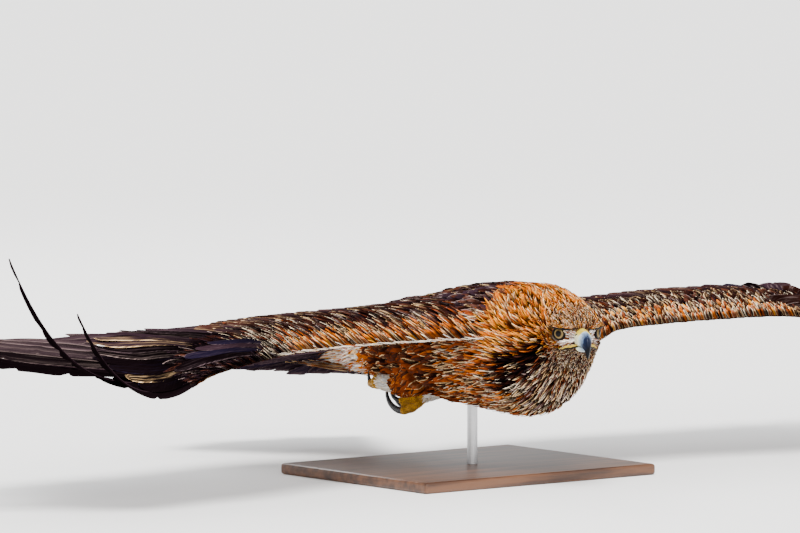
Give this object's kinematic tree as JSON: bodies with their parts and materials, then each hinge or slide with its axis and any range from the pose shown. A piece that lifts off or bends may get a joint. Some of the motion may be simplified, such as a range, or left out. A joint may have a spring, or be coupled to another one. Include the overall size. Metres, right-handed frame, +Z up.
{
  "type": "golden eagle",
  "caption": "Life-size golden eagle model in gliding flight, wings spread and tips curled up, head turned to one side, on a plain display stand.",
  "frame": {"origin": "centre of the underside of the stand's base, on the floor", "axes": "+Z up, the bird flies towards -Y, its left wing reaches along +X"},
  "size_m": [1.9893, 0.8591, 0.3813],
  "materials": {
    "golden_plumage": "feathers, golden brown with pale tips",
    "brown_plumage": "feathers, dark brown with pale edges",
    "flight_feathers": "feathers, grey-brown to near black",
    "leg_plumage": "short feathers, buff white",
    "yellow_skin": "scaly yellow skin",
    "bill_horn": "horn, blue-grey to black",
    "claw_horn": "black horn",
    "eye_glass": "clear gloss over an amber iris",
    "stand_wood": "dark wood, satin lacquer",
    "stand_steel": "brushed"
  },
  "bodies": {
    "root": {"head": "golden_plumage", "neck": "golden_plumage", "torso": "brown_plumage", "wing_right": "flight_feathers", "wing_left": "flight_feathers", "tail": "flight_feathers", "thigh_right": "brown_plumage", "thigh_left": "brown_plumage", "tarsus_right": "leg_plumage", "tarsus_left": "leg_plumage", "foot_right": "yellow_skin", "foot_left": "yellow_skin", "claw_right_1": "claw_horn", "claw_right_2": "claw_horn", "claw_right_3": "claw_horn", "claw_right_4": "claw_horn", "claw_left_1": "claw_horn", "claw_left_2": "claw_horn", "claw_left_3": "claw_horn", "claw_left_4": "claw_horn", "eye_right": "eye_glass", "eye_left": "eye_glass", "cere": "yellow_skin", "bill_upper": "bill_horn", "bill_lower": "bill_horn", "stand_base": "stand_wood", "stand_rod": "stand_steel"}
  },
  "joints": []
}
